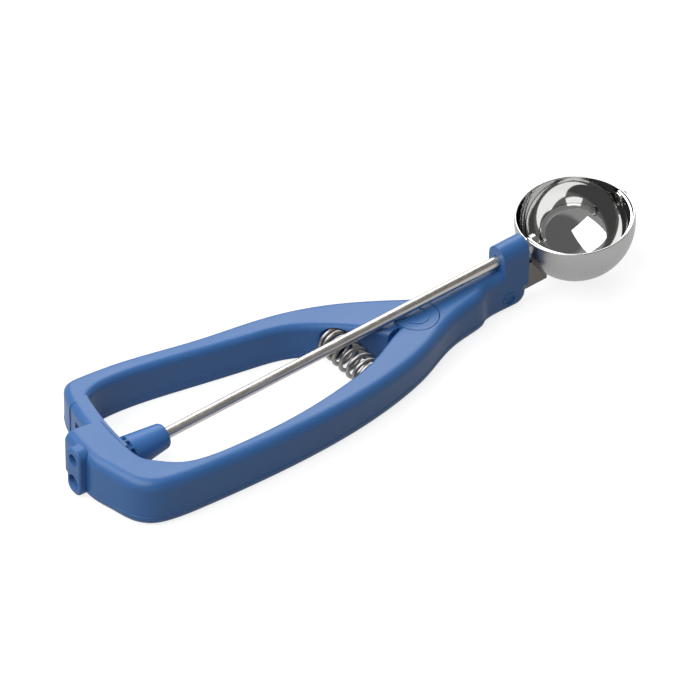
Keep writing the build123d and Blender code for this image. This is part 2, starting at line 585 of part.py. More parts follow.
def make_pinion_pin():
    """Pin that locks the pinion to the rod."""
    return pinion_pin_bar(PINION_PIN_RADIUS, CONE_FRONT_RADIUS + PINION_PIN_INSET)


def make_rod():
    """Stainless rod from the rear bearing to the scraper's hub."""
    rear = (PLATE_BACK_X + ROD_END_RECESS) / ROD_DIRECTION.X
    front = BOWL_AHEAD - BLADE_INSIDE + HUB_LENGTH + 0.4
    rod = round_bar(ROD_RADIUS, rear, front - rear)
    rod = chamfer(rod.edges().filter_by(GeomType.CIRCLE), 0.3)
    return rod - pinion_pin_bar(PINION_PIN_RADIUS, ROD_RADIUS + 1)


def make_end_plate():
    """Plate on the sleeve's rear wall, with the sleeve bearing for the rod's end."""
    plate = Pos(PLATE_BACK_X, 0, 0) * extrude(plate_outline(), amount=PLATE_SEAT_X - PLATE_BACK_X)
    plate = fillet(plate.edges().group_by(Axis.X)[0], PLATE_ROUND)
    seat = PLATE_SEAT_X / ROD_DIRECTION.X
    plate += round_bar(BEARING_RADIUS, seat - 0.5, BEARING_LENGTH + 0.5)
    plate -= round_bar(ROD_RADIUS + RUNNING_FIT, -REACH, REACH)
    plate -= round_bar(ROD_END_RECESS_RADIUS, -REACH, REACH + PLATE_BACK_X / ROD_DIRECTION.X + ROD_END_RECESS)
    pin_start = plate_pin_axis(PLATE_BACK_X - 1)
    plate -= extrude(pin_start * Circle(PLATE_PIN_RADIUS), amount=PLATE_PIN_LENGTH + 1)
    return plate - extrude(pin_start * Circle(PLATE_PIN_RECESS_RADIUS), amount=PLATE_PIN_RECESS + 1)


def make_end_plate_pin():
    """Pin that holds the plate to the sleeve's rear wall."""
    pin = extrude(plate_pin_axis(PLATE_BACK_X + PLATE_PIN_RECESS) * Circle(PLATE_PIN_RADIUS),
                  amount=PLATE_PIN_LENGTH - PLATE_PIN_RECESS)
    return chamfer(pin.edges().group_by(Axis.X)[0], 0.3)


# ---- neck and shank ----------------------------------------------------------------------------
def make_neck_bush():
    """Sleeve that the rod turns in, in the neck."""
    start = NECK_REAR / ROD_DIRECTION.X + BUSH_INSET
    length = NECK_LENGTH - 2 * BUSH_INSET
    bore = round_bar(ROD_RADIUS + RUNNING_FIT, start - 1, length + 2)
    return round_bar(ROD_RADIUS + BUSH_WALL, start, length) - bore


def shank_side(gap):
    """Side view of the flat shank, widened by a gap inside the neck."""
    rear = NECK_FRONT - SHANK_IN_NECK - gap
    end = NECK_FRONT + SHANK_OVERHANG
    lean = tan(radians(ROD_LEAN))
    rear_bottom = SHANK_BOTTOM - lean * (NECK_FRONT - rear) - gap
    end_bottom = SHANK_BOTTOM + lean * SHANK_OVERHANG - gap
    outline = make_face(Polyline(
        (rear, rear_bottom), (end, end_bottom), (end, SHANK_TOP + gap), (rear, SHANK_TOP + gap), close=True))
    top = outline.vertices().sort_by_distance((rear, SHANK_TOP, 0))[0]
    return fillet(top, SHANK_IN_NECK / 4)


def bowl_ball(radius):
    """Ball round the bowl's centre."""
    return Pos(*(ROD_START + ROD_DIRECTION * BOWL_AHEAD)) * Sphere(radius)


def make_shank():
    """Flat steel shank, pinned in the neck and brazed under the bowl."""
    shank = upright_slab(shank_side(0), SHANK_THICKNESS / 2)
    shank -= bowl_ball(BOWL_RADIUS)
    hole = shank_pin_plane(ROD_SIDE + SHANK_THICKNESS) * Circle(SHANK_PIN_RADIUS)
    return shank - extrude(hole, amount=2 * SHANK_THICKNESS)


def make_shank_pin():
    """Steel pin through the neck and the shank."""
    length = 2 * (NECK_HALF_WIDTH - PLUG_DEPTH - PLUG_INSET)
    return extrude(shank_pin_plane(ROD_SIDE + length / 2) * Circle(SHANK_PIN_RADIUS), amount=length)


def make_pin_plugs():
    """Two plastic plugs over the ends of the shank's pin."""
    reach = NECK_HALF_WIDTH - PLUG_INSET
    near = extrude(shank_pin_plane(ROD_SIDE - reach + PLUG_DEPTH) * Circle(PLUG_RADIUS), amount=PLUG_DEPTH)
    far = extrude(shank_pin_plane(ROD_SIDE + reach) * Circle(PLUG_RADIUS), amount=PLUG_DEPTH)
    return Compound(children=[near.solid(), far.solid()])


# ---- bowl and scraper --------------------------------------------------------------------------
def bowl_plane():
    """Plane at the bowl's centre: its X is the rod's line and its Z is square to the rim."""
    return Plane(origin=ROD_START + ROD_DIRECTION * BOWL_AHEAD, x_dir=ROD_DIRECTION, z_dir=rod_plane(0).y_dir)


def make_bowl():
    """Thin pressed bowl, open above, with a rounded rim and holes on the rod's line."""
    bowl = Sphere(BOWL_RADIUS) - Sphere(BOWL_INSIDE)
    bowl -= Pos(0, 0, RIM_RISE + 2 * BOWL_RADIUS) * Box(*[4 * BOWL_RADIUS] * 3)
    rim = bowl.edges().filter_by(GeomType.CIRCLE).filter_by_position(Axis.Z, RIM_RISE - 0.1, RIM_RISE + 0.1)
    bowl = bowl_plane() * fillet(rim, BOWL_WALL * 0.4)
    bowl -= round_bar(ROD_RADIUS + RUNNING_FIT, 0, BOWL_AHEAD)
    return bowl - round_bar(SCRAPER_RIVET_RADIUS, BOWL_AHEAD, 2 * BOWL_RADIUS)


def make_bowl_ferrule():
    """Collar brazed to the bowl where the rod goes in."""
    start = BOWL_AHEAD - BOWL_RADIUS - FERRULE_LENGTH + 0.3
    collar = round_bar(FERRULE_RADIUS, start, 2 * FERRULE_LENGTH) - bowl_ball(BOWL_RADIUS)
    return collar - round_bar(ROD_RADIUS + RUNNING_FIT, start - 1, 3 * FERRULE_LENGTH)


def make_scraper_blade():
    """Thin band that follows the bowl's inside from eye to eye, resting just below the near rim."""
    shell = Sphere(BLADE_OUTSIDE) - Sphere(BLADE_INSIDE)
    band = Pos(0, -BOWL_RADIUS, 0) * Box(4 * BOWL_RADIUS, 2 * BOWL_RADIUS, BLADE_WIDTH)
    eyes = Rot(0, 90, 0) * Cylinder(BLADE_WIDTH / 2, 4 * BOWL_RADIUS)
    blade = bowl_plane() * Rot(BLADE_DROP, 0, 0) * (shell & (band + eyes))
    blade -= round_bar(ROD_RADIUS, 0, BOWL_AHEAD)
    return blade - round_bar(SCRAPER_RIVET_RADIUS + BLADE_EYE_GAP, BOWL_AHEAD, 2 * BOWL_RADIUS)


def make_scraper_hub():
    """Boss that fixes the blade's rear eye to the rod."""
    start = BOWL_AHEAD - BLADE_INSIDE
    hub = round_bar(HUB_RADIUS, start - 1, HUB_LENGTH + 1) & bowl_ball(BLADE_INSIDE)
    nose = hub.edges().sort_by(Axis.X)[-1]
    hub = chamfer(nose, 0.4)
    return hub - round_bar(ROD_RADIUS, start - 2, HUB_LENGTH + 3)


def ahead_on_ball(radius, off_line):
    """How far ahead of the bowl's centre a ball is met, at a distance off the rod's line."""
    return sqrt(radius ** 2 - off_line ** 2)


def make_scraper_rivet():
    """Rivet through the bowl's far wall, on which the blade's front eye turns."""
    inner_face = ahead_on_ball(BLADE_INSIDE, SCRAPER_HEAD_RADIUS) - BLADE_EYE_GAP
    outer_face = ahead_on_ball(BOWL_RADIUS, SCRAPER_RIVET_RADIUS)
    inner_end = inner_face - SCRAPER_HEAD_THICKNESS
    outer_end = outer_face + SCRAPER_HEAD_THICKNESS
    head, stem = SCRAPER_HEAD_RADIUS, SCRAPER_RIVET_RADIUS
    half = make_face(Polyline(
        (inner_end, 0), (inner_end, head), (inner_face, head), (inner_face, stem),
        (outer_face, stem), (outer_face, head), (outer_end, head), (outer_end, 0), close=True))
    corners = [half.vertices().sort_by_distance((x, head, 0))[0] for x in (inner_end, outer_end)]
    return bowl_plane() * revolve(fillet(corners, SCRAPER_HEAD_THICKNESS / 2), axis=Axis.X)


PARTS = {
    "near_handle": make_near_handle,
    "far_handle": make_far_handle,
    "pivot_bush": make_pivot_bush,
    "pivot_washer": make_pivot_washer,
    "pivot_screw": make_pivot_screw,
    "return_spring": make_spring,
    "rod": make_rod,
    "drive_pinion": make_drive_pinion,
    "pinion_pin": make_pinion_pin,
    "end_plate": make_end_plate,
    "end_plate_pin": make_end_plate_pin,
    "neck_bush": make_neck_bush,
    "shank": make_shank,
    "shank_pin": make_shank_pin,
    "pin_plugs": make_pin_plugs,
    "bowl": make_bowl,
    "bowl_ferrule": make_bowl_ferrule,
    "scraper_blade": make_scraper_blade,
    "scraper_hub": make_scraper_hub,
    "scraper_rivet": make_scraper_rivet,
}

os.makedirs("parts", exist_ok=True)
for name, make in PARTS.items():
    export_step(make(), f"parts/{name}.step")
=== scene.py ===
"""Lever ice cream scoop: finishes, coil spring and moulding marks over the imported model, in a pale studio.

Metres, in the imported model's frame: +X runs forwards to the bowl, +Z is up, and the handle's flat
underside lies on Z = 0 with its pivot at the origin.
"""

import json
import logging
from dataclasses import dataclass
from enum import Enum
from math import cos, pi, radians, sin

import bmesh
import bpy
from mathutils import Matrix, Vector

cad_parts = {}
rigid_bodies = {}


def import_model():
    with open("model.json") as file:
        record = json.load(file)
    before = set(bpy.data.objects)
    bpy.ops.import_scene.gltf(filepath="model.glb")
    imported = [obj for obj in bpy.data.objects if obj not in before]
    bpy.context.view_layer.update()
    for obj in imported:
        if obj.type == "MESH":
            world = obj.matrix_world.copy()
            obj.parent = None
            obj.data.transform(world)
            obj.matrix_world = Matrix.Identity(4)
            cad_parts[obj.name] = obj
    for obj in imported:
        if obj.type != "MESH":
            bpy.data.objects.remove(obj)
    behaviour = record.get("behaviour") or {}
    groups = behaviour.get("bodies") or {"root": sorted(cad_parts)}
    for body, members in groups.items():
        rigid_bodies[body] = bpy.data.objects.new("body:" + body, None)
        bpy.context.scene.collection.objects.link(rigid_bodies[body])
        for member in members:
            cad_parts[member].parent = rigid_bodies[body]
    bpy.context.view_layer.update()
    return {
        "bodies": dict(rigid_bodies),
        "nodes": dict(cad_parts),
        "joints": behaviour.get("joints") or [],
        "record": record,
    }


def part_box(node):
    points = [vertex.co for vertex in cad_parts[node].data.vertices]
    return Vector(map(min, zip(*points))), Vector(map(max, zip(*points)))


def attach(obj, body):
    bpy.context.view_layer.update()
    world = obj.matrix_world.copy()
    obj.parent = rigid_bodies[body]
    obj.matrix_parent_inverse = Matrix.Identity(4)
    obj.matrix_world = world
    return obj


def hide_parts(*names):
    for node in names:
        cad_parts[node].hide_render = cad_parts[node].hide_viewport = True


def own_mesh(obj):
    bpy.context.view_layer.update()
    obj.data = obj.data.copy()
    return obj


LOG = logging.getLogger("scoop")
MM = 0.001
PATTERN_RANGE = (0.3, 0.7)  # where nearly all of a noise pattern's numbers lie


# ---- node trees ----------------------------------------------------------------------------------
class Tree:
    """A node tree under construction, with short ways to add and join nodes."""

    def __init__(self, tree: bpy.types.NodeTree) -> None:
        """Starts on an empty tree.

        Args:
            tree: the shader or geometry tree to fill.
        """
        self.tree = tree
        self.tree.nodes.clear()

    def add(self, kind: str, **settings: object) -> bpy.types.Node:
        """Adds a node.

        Args:
            kind: the node's type name.
            settings: attributes to set on the node.

        Returns:
            The new node.
        """
        node = self.tree.nodes.new(kind)
        for name, value in settings.items():
            setattr(node, name, value)
        return node

    def join(self, source: bpy.types.NodeSocket, target: bpy.types.NodeSocket) -> None:
        """Links one socket to another."""
        self.tree.links.new(source, target)

    def feed(self, node: bpy.types.Node, slot: int | str, value: object) -> None:
        """Sets or links one input of a node.

        Args:
            node: the node to feed.
            slot: the input's place or name.
            value: a socket to link, or a plain value.
        """
        if isinstance(value, bpy.types.NodeSocket):
            self.join(value, node.inputs[slot])
        else:
            node.inputs[slot].default_value = value

    def math(self, operation: str, first: object, second: object = 0.0,
             third: object = 0.0) -> bpy.types.NodeSocket:
        """Adds a math node.

        Args:
            operation: Blender's name for the sum.
            first: first number or socket.
            second: second number or socket.
            third: third number or socket.

        Returns:
            The result's socket.
        """
        node = self.add("ShaderNodeMath", operation=operation)
        for slot, value in enumerate((first, second, third)):
            self.feed(node, slot, value)
        return node.outputs[0]

    def ramp(self, value: bpy.types.NodeSocket, low: float, high: float, start: float,
             end: float) -> bpy.types.NodeSocket:
        """Maps a number from one range to another, held at the ends.

        Args:
            value: the number's socket.
            low: where the first range starts.
            high: where the first range ends.
            start: result at low.
            end: result at high.

        Returns:
            The result's socket.
        """
        node = self.add("ShaderNodeMapRange", interpolation_type="SMOOTHSTEP")
        for slot, number in enumerate((value, low, high, start, end)):
            self.feed(node, slot, number)
        return node.outputs[0]

    def noise(self, place: bpy.types.NodeSocket, scale: float, detail: float) -> bpy.types.NodeSocket:
        """Adds a noise pattern.

        Args:
            place: where the pattern is read.
            scale: cells in a metre.
            detail: how many finer layers it has.

        Returns:
            The pattern's number, around one half.
        """
        node = self.add("ShaderNodeTexNoise")
        self.feed(node, "Vector", place)
        self.feed(node, "Scale", scale)
        self.feed(node, "Detail", detail)
        return node.outputs["Fac"]

    def spread(self, place: bpy.types.NodeSocket, stretch: tuple[float, float, float],
               turn: tuple[float, float, float]) -> bpy.types.NodeSocket:
        """Turns and stretches a pattern's coordinates.

        Args:
            place: the coordinates.
            stretch: scale along each axis, small where the pattern runs long.
            turn: turn about each axis, in radians.

        Returns:
            The new coordinates.
        """
        node = self.add("ShaderNodeMapping")
        self.feed(node, "Vector", place)
        self.feed(node, "Rotation", turn)
        self.feed(node, "Scale", stretch)
        return node.outputs["Vector"]

    def moved(self, place: bpy.types.NodeSocket, offset: tuple[float, float, float]) -> bpy.types.NodeSocket:
        """Moves a pattern's coordinates.

        Args:
            place: the coordinates.
            offset: how far they move along each axis.

        Returns:
            The new coordinates.
        """
        node = self.add("ShaderNodeMapping")
        self.feed(node, "Vector", place)
        self.feed(node, "Location", offset)
        return node.outputs["Vector"]

    def shade(self, value: bpy.types.NodeSocket, colour: tuple[float, float, float], dark: float,
              light: float) -> bpy.types.NodeSocket:
        """Varies a colour with a pattern.

        Args:
            value: the pattern's number.
            colour: the colour's middle.
            dark: factor where the pattern is 0.
            light: factor where the pattern is 1.

        Returns:
            The varied colour.
        """
        node = self.add("ShaderNodeMix", data_type="RGBA", blend_type="MIX")
        self.feed(node, 0, value)
        self.feed(node, 6, tuple(min(1.0, c * dark) for c in colour) + (1.0,))
        self.feed(node, 7, tuple(min(1.0, c * light) for c in colour) + (1.0,))
        return node.outputs[2]

    def sweep_wire(self, path: bpy.types.NodeSocket, radius: bpy.types.NodeSocket, corners: int,
                   material: bpy.types.Material) -> None:
        """Ends a geometry tree with a round wire along a path.

        Args:
            path: the curve that the wire follows.
            radius: the wire's radius.
            corners: points round the wire's section.
            material: the wire's finish.
        """
        section = self.add("GeometryNodeCurvePrimitiveCircle")
        self.feed(section, "Resolution", corners)
        self.join(radius, section.inputs["Radius"])
        wire = self.add("GeometryNodeCurveToMesh")
        self.join(path, wire.inputs["Curve"])
        self.join(section.outputs["Curve"], wire.inputs["Profile Curve"])
        self.feed(wire, "Fill Caps", True)
        smooth = self.add("GeometryNodeSetShadeSmooth")
        self.join(wire.outputs["Mesh"], smooth.inputs["Geometry"])
        real = self.add("GeometryNodeRealizeInstances")
        self.join(smooth.outputs["Geometry"], real.inputs["Geometry"])
        coat = self.add("GeometryNodeSetMaterial")
        self.join(real.outputs["Geometry"], coat.inputs["Geometry"])
        self.feed(coat, "Material", material)
        result = self.add("NodeGroupOutput")
        self.join(coat.outputs["Geometry"], result.inputs["Geometry"])

    def bump(self, height: bpy.types.NodeSocket, depth: float, strength: float) -> bpy.types.NodeSocket:
        """Adds a bump.

        Args:
            height: the pattern's number.
            depth: height of the pattern in metres.
            strength: how much of it shows.

        Returns:
            The bumped normal.
        """
        node = self.add("ShaderNodeBump")
        self.feed(node, "Height", height)
        self.feed(node, "Distance", depth)
        self.feed(node, "Strength", strength)
        return node.outputs["Normal"]


def blank_material(name: str) -> tuple[bpy.types.Material, Tree, bpy.types.Node]:
    """Makes a material with a Principled shader.

    Args:
        name: the material's name.

    Returns:
        The material, its tree and its shader node.
    """
    material = bpy.data.materials.new(name)
    material.use_nodes = True
    tree = Tree(material.node_tree)
    shader = tree.add("ShaderNodeBsdfPrincipled")
    output = tree.add("ShaderNodeOutputMaterial")
    tree.join(shader.outputs["BSDF"], output.inputs["Surface"])
    return material, tree, shader


# ---- finishes ------------------------------------------------------------------------------------
@dataclass(frozen=True)
class MouldedPlastic:
    """Satin moulded plastic with a fine spark-eroded grain, faint flow marks and handling scuffs."""

    name: str
    colour: tuple[float, float, float] = (0.040, 0.139, 0.368)
    dark_flow: float = 0.93
    light_flow: float = 1.07
    roughness: float = 0.36
    smoother_flow: float = 0.03
    rougher_flow: float = 0.04
    specular: float = 0.40
    grain_per_metre: float = 2600.0
    grain_depth: float = 0.014 * MM
    grain_strength: float = 0.5
    flow_per_metre: float = 24.0
    scuff_per_metre: float = 420.0
    scuff_turn: float = 0.7
    scuff_stretch: tuple[float, float, float] = (0.08, 1.0, 1.0)
    scuff_edge: tuple[float, float] = (0.60, 0.72)
    scuff_polish: float = -0.05
    scuff_dent: float = -0.25

    def build(self) -> bpy.types.Material:
        """Builds the material.

        Returns:
            The plastic, with grain, flow marks and scuffs.
        """
        material, tree, shader = blank_material(self.name)
        place = tree.add("ShaderNodeTexCoord").outputs["Object"]
        flow = tree.noise(place, self.flow_per_metre, 3.0)
        scuff_place = tree.spread(place, self.scuff_stretch, (0.0, 0.0, self.scuff_turn))
        scuffs = tree.noise(scuff_place, self.scuff_per_metre, 4.0)
        worn = tree.ramp(scuffs, *self.scuff_edge, 0.0, 1.0)
        colour = tree.shade(flow, self.colour, self.dark_flow, self.light_flow)
        tree.join(colour, shader.inputs["Base Color"])
        smoothest = self.roughness - self.smoother_flow
        roughest = self.roughness + self.rougher_flow
        mottle = tree.ramp(flow, *PATTERN_RANGE, smoothest, roughest)
        tree.join(tree.math("MULTIPLY_ADD", worn, self.scuff_polish, mottle), shader.inputs["Roughness"])
        grain = tree.noise(place, self.grain_per_metre, 2.0)
        height = tree.math("MULTIPLY_ADD", worn, self.scuff_dent, grain)
        tree.join(tree.bump(height, self.grain_depth, self.grain_strength), shader.inputs["Normal"])
        shader.inputs["Specular IOR Level"].default_value = self.specular
        shader.inputs["IOR"].default_value = 1.5
        return material


class LineRun(Enum):
    """How the fine lines on a steel piece run: its noise's stretch along X, Y and Z."""

    ALONG = (0.012, 1.0, 1.0)
    ROUND = (1.0, 0.05, 0.05)
    TUMBLED = (1.0, 1.0, 1.0)


@dataclass(frozen=True)
class Steel:
    """Stainless steel with fine lines from its making."""

    name: str
    run: LineRun
    colour: tuple[float, float, float] = (0.62, 0.605, 0.585)
    roughness: float = 0.16
    lean: float = 0.0
    line_per_metre: float = 4200.0
    line_depth: float = 0.003 * MM
    line_strength: float = 0.35
    colour_swing: tuple[float, float] = (0.92, 1.08)
    roughness_swing: tuple[float, float] = (0.8, 1.2)
    cloud_scale: float = 0.02
    cloud_edge: tuple[float, float] = (0.35, 0.65)
    cloud_swing: tuple[float, float] = (0.9, 1.12)

    def build(self) -> bpy.types.Material:
        """Builds the material.

        Returns:
            The steel, with lines that run as chosen and a faint cloudiness.
        """
        material, tree, shader = blank_material(self.name)
        place = tree.add("ShaderNodeTexCoord").outputs["Object"]
        line_place = tree.spread(place, self.run.value, (0.0, self.lean, 0.0))
        lines = tree.noise(line_place, self.line_per_metre, 3.0)
        cloud = tree.noise(place, self.line_per_metre * self.cloud_scale, 3.0)
        shader.inputs["Metallic"].default_value = 1.0
        tree.join(tree.shade(lines, self.colour, *self.colour_swing), shader.inputs["Base Color"])
        smoothest, roughest = (self.roughness * swing for swing in self.roughness_swing)
        streaked = tree.ramp(lines, *PATTERN_RANGE, smoothest, roughest)
        hazed = tree.ramp(cloud, *self.cloud_edge, *self.cloud_swing)
        tree.join(tree.math("MULTIPLY", streaked, hazed), shader.inputs["Roughness"])
        tree.join(tree.bump(lines, self.line_depth, self.line_strength), shader.inputs["Normal"])
        return material


@dataclass(frozen=True)
class PressedBowlSteel:
    """Stainless steel, mirror-polished inside the bowl and satin outside it."""

    name: str
    centre: tuple[float, float, float]
    inside_radius: float
    outside_radius: float
    colour: tuple[float, float, float] = (0.46, 0.46, 0.457)
    colour_swing: tuple[float, float] = (0.97, 1.03)
    polished: float = 0.05
    satin: float = 0.28
    roughness_swing: tuple[float, float] = (0.88, 1.14)
    satin_start: float = 0.3
    scratch_per_metre: float = 900.0
    spun_stretch: tuple[float, float, float] = (0.5, 0.5, 3.0)
    spun_depth: float = 0.0006 * MM
    spun_strength: float = 0.3

    def build(self) -> bpy.types.Material:
        """Builds the material.

        Returns:
            The steel, polished within and turning satin close to the wall's outer face.
        """
        material, tree, shader = blank_material(self.name)
        place = tree.add("ShaderNodeTexCoord").outputs["Object"]
        from_centre = tree.moved(place, tuple(-c for c in self.centre))
        distance = tree.add("ShaderNodeVectorMath", operation="LENGTH")
        tree.feed(distance, 0, from_centre)
        satin_from = self.outside_radius - self.satin_start * (self.outside_radius - self.inside_radius)
        outside = tree.ramp(distance.outputs["Value"], satin_from, self.outside_radius, 0.0, 1.0)
        scratches = tree.noise(from_centre, self.scratch_per_metre, 4.0)
        spun_place = tree.spread(from_centre, self.spun_stretch, (0.0, 0.0, 0.0))
        spun = tree.math("MULTIPLY", tree.noise(spun_place, self.scratch_per_metre, 2.0), outside)
        level = tree.math("MULTIPLY_ADD", outside, self.satin - self.polished, self.polished)
        wander = tree.ramp(scratches, *PATTERN_RANGE, *self.roughness_swing)
        tree.join(tree.math("MULTIPLY", level, wander), shader.inputs["Roughness"])
        shader.inputs["Metallic"].default_value = 1.0
        tree.join(tree.shade(scratches, self.colour, *self.colour_swing), shader.inputs["Base Color"])
        tree.join(tree.bump(spun, self.spun_depth, self.spun_strength), shader.inputs["Normal"])
        return material


def dress(frame: dict, nodes: tuple[str, ...], material: bpy.types.Material) -> None:
    """Gives CAD nodes a finish.

    Args:
        frame: the loaded frame.
        nodes: names of the nodes.
        material: the finish.
    """
    for name in nodes:
        mesh = frame["nodes"][name].data
        mesh.materials.clear()
        mesh.materials.append(material)
        LOG.info("%s: %s", name, material.name)


# ---- sub-assemblies ------------------------------------------------------------------------------
@dataclass(frozen=True)
class PlanBox:
    """Rectangle in plan, in metres, inside which a parting line shows."""

    low_x: float
    high_x: float
    low_y: float
    high_y: float

    def holds(self, point: Vector) -> bool:
        """Tells whether a point lies inside the rectangle."""
        return self.low_x < point.x < self.high_x and self.low_y < point.y < self.high_y


@dataclass(frozen=True)
class PartingLine:
    """Thin raised line where the halves of the mould met, along the sides of a plastic arm."""

    node: str
    body: str
    slot: str
    sides: tuple[PlanBox, ...]
    height: float = 3.8 * MM
    weld: float = 0.001 * MM
    bead_radius: float = 0.16 * MM
    bead_corners: int = 8
    step: float = 0.8 * MM

    def outline(self, frame: dict) -> bpy.types.Mesh:
        """Cuts the arm level at the line's height.

        Args:
            frame: the loaded frame.

        Returns:
            A mesh of edges, kept only inside the rectangles given by sides.
        """
        cut = bmesh.new()
        cut.from_mesh(frame["nodes"][self.node].data)
        bmesh.ops.remove_doubles(cut, verts=cut.verts, dist=self.weld)
        everything = cut.verts[:] + cut.edges[:] + cut.faces[:]
        on_line = (0.0, 0.0, self.height)
        found = bmesh.ops.bisect_plane(cut, geom=everything, plane_co=on_line, plane_no=(0.0, 0.0, 1.0))
        line = bmesh.new()
        corners = {}
        for edge in found["geom_cut"]:
            if isinstance(edge, bmesh.types.BMEdge) and self.on_side(edge):
                for vert in edge.verts:
                    if vert not in corners:
                        corners[vert] = line.verts.new(vert.co)
                line.edges.new([corners[vert] for vert in edge.verts])
        mesh = bpy.data.meshes.new(self.node + "_line")
        line.to_mesh(mesh)
        line.free()
        cut.free()
        return mesh

    def on_side(self, edge: bmesh.types.BMEdge) -> bool:
        """Tells whether an edge lies in one of the rectangles where the line shows."""
        middle = (edge.verts[0].co + edge.verts[1].co) / 2
        return any(side.holds(middle) for side in self.sides)

    def build(self, frame: dict, material: bpy.types.Material) -> bpy.types.Object:
        """Lays the bead along the arm.

        Args:
            frame: the loaded frame.
            material: the arm's own finish.

        Returns:
            The bead's object.
        """
        sizes = {"Bead Radius": self.bead_radius, "Step": self.step}
        tree = bpy.data.node_groups.new("bead", "GeometryNodeTree")
        tree.interface.new_socket("Geometry", in_out="INPUT", socket_type="NodeSocketGeometry")
        for name in sizes:
            tree.interface.new_socket(name, in_out="INPUT", socket_type="NodeSocketFloat")
        tree.interface.new_socket("Geometry", in_out="OUTPUT", socket_type="NodeSocketGeometry")
        nodes = Tree(tree)
        given = nodes.add("NodeGroupInput")
        path = nodes.add("GeometryNodeMeshToCurve")
        nodes.join(given.outputs["Geometry"], path.inputs["Mesh"])
        even = nodes.add("GeometryNodeResampleCurve", mode="LENGTH")
        nodes.join(path.outputs["Curve"], even.inputs["Curve"])
        nodes.join(given.outputs["Step"], even.inputs["Length"])
        nodes.sweep_wire(even.outputs["Curve"], given.outputs["Bead Radius"], self.bead_corners, material)
        bead = grow(self.node + "_parting_line", tree, sizes, self.outline(frame))
        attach(bead, self.body)
        LOG.info("%s: %d faces", bead.name, len(bead.data.polygons))
        return bead


@dataclass
class Handle:
    """The two plastic arms and the small plastic pieces on them."""

    frame: dict
    arms: tuple[str, ...] = ("near_handle", "far_handle")
    trim: tuple[str, ...] = ("end_plate", "pin_plugs")
    hardware: tuple[str, ...] = ("pivot_screw", "pivot_washer", "pivot_bush", "shank_pin", "end_plate_pin")
    lines: tuple[PartingLine, ...] = (
        PartingLine("near_handle", "root", "blue_plastic", (
            PlanBox(-0.134, 0.024, -0.031, -0.0155),
            PlanBox(-0.140, -0.120, -0.031, -0.0085),
            PlanBox(-0.020, 0.030, -0.0155, -0.004),
            PlanBox(-0.1395, -0.1325, -0.012, -0.0025),
        )),
        PartingLine("far_handle", "lever", "blue_plastic", (
            PlanBox(-0.126, -0.034, 0.0165, 0.039),
            PlanBox(-0.034, -0.004, 0.0160, 0.039),
        )),
    )

    def build(self) -> None:
        """Dresses the arms, their trim and their hardware, and lays the parting lines."""
        plastic = MouldedPlastic("arm_plastic").build()
        dress(self.frame, self.arms, plastic)
        for line in self.lines:
            line.build(self.frame, plastic)
        dress(self.frame, self.trim, MouldedPlastic("trim_plastic", roughness=0.45).build())
        dress(self.frame, self.hardware, Steel("hardware_steel", LineRun.TUMBLED, roughness=0.25).build())
        dress(self.frame, ("neck_bush",), MouldedPlastic("bush_plastic", colour=(0.6, 0.6, 0.57)).build())


@dataclass
class ReturnSpring:
    """Compression coil between the arms, with closed end turns."""

    frame: dict
    wire_radius: float = 0.78 * MM
    turns: float = 8.9
    end_closing: float = 0.45
    points_per_turn: int = 40
    section_points: int = 14
    squeezed_length: float = 0.855

    def build(self) -> bpy.types.Object:
        """Makes the coil in place of its plain solid.

        Returns:
            The coil's object.
        """
        low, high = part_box("return_spring")
        centre = (low + high) / 2
        coil_radius = (high.x - low.x) / 2 - self.wire_radius
        length = high.y - low.y - 2 * self.wire_radius
        material = Steel("spring_steel", LineRun.TUMBLED, colour=(0.36, 0.345, 0.33), roughness=0.32).build()
        tree = bpy.data.node_groups.new("coil", "GeometryNodeTree")
        sizes = {
            "Coil Radius": coil_radius, "Wire Radius": self.wire_radius, "Length": length,
            "Turns": self.turns, "End Closing": self.end_closing,
        }
        for name in sizes:
            tree.interface.new_socket(name, in_out="INPUT", socket_type="NodeSocketFloat")
        tree.interface.new_socket("Geometry", in_out="OUTPUT", socket_type="NodeSocketGeometry")
        nodes = Tree(tree)
        given = nodes.add("NodeGroupInput")
        line = nodes.add("GeometryNodeCurvePrimitiveLine")
        nodes.feed(line, "End", (0.0, 1.0, 0.0))
        even = nodes.add("GeometryNodeResampleCurve")
        nodes.join(line.outputs["Curve"], even.inputs["Curve"])
        nodes.feed(even, "Count", int(self.turns * self.points_per_turn))
        along = nodes.add("GeometryNodeSplineParameter").outputs["Factor"]
        full_turn = nodes.math("MULTIPLY", along, 2 * pi)
        closing = nodes.math("MULTIPLY", nodes.math("SINE", full_turn), given.outputs["End Closing"])
        slow = nodes.math("DIVIDE", closing, 2 * pi)
        centred = nodes.math("SUBTRACT", nodes.math("SUBTRACT", along, slow), 0.5)
        angle = nodes.math("MULTIPLY", full_turn, given.outputs["Turns"])
        place = nodes.add("ShaderNodeCombineXYZ")
        across = nodes.math("MULTIPLY", nodes.math("COSINE", angle), given.outputs["Coil Radius"])
        upward = nodes.math("MULTIPLY", nodes.math("SINE", angle), given.outputs["Coil Radius"])
        nodes.join(across, place.inputs["X"])
        nodes.join(nodes.math("MULTIPLY", centred, given.outputs["Length"]), place.inputs["Y"])
        nodes.join(upward, place.inputs["Z"])
        helix = nodes.add("GeometryNodeSetPosition")
        nodes.join(even.outputs["Curve"], helix.inputs["Geometry"])
        nodes.join(place.outputs["Vector"], helix.inputs["Position"])
        wire = given.outputs["Wire Radius"]
        nodes.sweep_wire(helix.outputs["Geometry"], wire, self.section_points, material)
        coil = grow("spring_coil", tree, sizes, bpy.data.meshes.new("coil_seed"))
        coil.data.transform(Matrix.Translation(centre))
        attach(coil, "root")
        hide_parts("return_spring")
        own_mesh(coil)
        LOG.info("spring_coil: %d faces", len(coil.data.polygons))
        return coil


